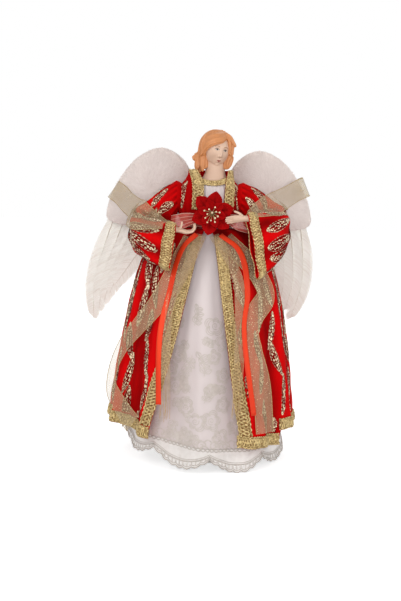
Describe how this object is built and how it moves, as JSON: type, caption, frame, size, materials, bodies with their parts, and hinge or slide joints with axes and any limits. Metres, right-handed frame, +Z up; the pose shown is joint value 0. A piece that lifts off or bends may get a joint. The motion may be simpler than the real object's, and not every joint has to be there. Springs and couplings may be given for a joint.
{
  "type": "angel tree topper",
  "caption": "Tree-top angel with moulded head and hands, feather wings, braided velvet robe over a white skirt, and a conical socket that slides over a tree's top shoot.",
  "frame": {"origin": "centre of the cone's open base, on the plane the part stands on", "axes": "+Z up along the cone's axis, -Y the way the angel faces, +X to the angel's own left"},
  "size_m": [0.2932, 0.2212, 0.405],
  "materials": {
    "skin": "matt painted moulding",
    "hair": "matt painted moulding",
    "velvet": "short-pile velvet with gold foil leaves",
    "white_satin": "soft satin with tonal embroidery",
    "lace": "corded net lace",
    "gold_braid": "woven metallic gimp braid",
    "gold_sheer": "sheer metallic ribbon with wired edges",
    "orange_satin": "glossy narrow satin",
    "red_sheer": "sheer striped ribbon",
    "petal_felt": "velvet-faced felt",
    "gold_wire": "gold wire with cream bead tips",
    "feather": "white down and trimmed feathers",
    "card": "stiff white card",
    "foam": "light foam",
    "wrapped_wire": "paper-wrapped wire",
    "steel_wire": "bare wire"
  },
  "bodies": {
    "figure": {"bust_head": "skin", "hair": "hair", "robe_bodice": "velvet", "robe_skirt_back": "velvet", "robe_skirt_left": "velvet", "robe_skirt_right": "velvet", "bodice": "white_satin", "underskirt": "white_satin", "lace_hem": "lace", "neckline_braid": "gold_braid", "lapel_braid_left": "gold_braid", "lapel_braid_right": "gold_braid", "front_braid_left": "gold_braid", "front_braid_right": "gold_braid", "hem_braid_left": "gold_braid", "hem_braid_right": "gold_braid", "gold_tail_left": "gold_sheer", "gold_tail_right": "gold_sheer", "thread_tail_left": "gold_sheer", "thread_tail_right": "gold_sheer", "satin_tail_left": "orange_satin", "satin_tail_right": "orange_satin", "waist_sash": "red_sheer", "bow_knot": "red_sheer", "bow_loop_left": "red_sheer", "bow_loop_right": "red_sheer", "poinsettia_outer_petals": "petal_felt", "poinsettia_inner_petals": "petal_felt", "poinsettia_stamens": "gold_wire", "base_cone": "card", "wing_bracket": "card", "torso_form": "foam"},
    "arm_left": {"arm_wire_left": "wrapped_wire", "hand_left": "skin", "sleeve_left": "velvet", "cuff_braid_left": "gold_braid", "arm_sash_left": "gold_sheer"},
    "arm_right": {"arm_wire_right": "wrapped_wire", "hand_right": "skin", "sleeve_right": "velvet", "cuff_braid_right": "gold_braid", "arm_sash_right": "gold_sheer"},
    "wing_left": {"wing_wire_left": "steel_wire", "wing_board_left": "card", "wing_down_left": "feather", "wing_sash_left": "gold_sheer", "feather_1_left": "feather", "feather_2_left": "feather", "feather_3_left": "feather", "feather_4_left": "feather", "feather_5_left": "feather"},
    "wing_right": {"wing_wire_right": "steel_wire", "wing_board_right": "card", "wing_down_right": "feather", "wing_sash_right": "gold_sheer", "feather_1_right": "feather", "feather_2_right": "feather", "feather_3_right": "feather", "feather_4_right": "feather", "feather_5_right": "feather"}
  },
  "joints": [
    {"name": "arm_left_raise", "type": "hinge", "parent": "figure", "child": "arm_left", "pos_m": [0.0406, 0.002, 0.322], "axis": [-1, 0, 0], "range_deg": [0, 25]},
    {"name": "wing_left_fold", "type": "hinge", "parent": "figure", "child": "wing_left", "pos_m": [0.014, 0.036, 0.324], "axis": [0, 0, 1], "range_deg": [0, 15]},
    {"name": "arm_right_raise", "type": "hinge", "parent": "figure", "child": "arm_right", "pos_m": [-0.0406, 0.002, 0.322], "axis": [-1, 0, 0], "range_deg": [0, 25]},
    {"name": "wing_right_fold", "type": "hinge", "parent": "figure", "child": "wing_right", "pos_m": [-0.014, 0.036, 0.324], "axis": [0, 0, -1], "range_deg": [0, 15]}
  ]
}
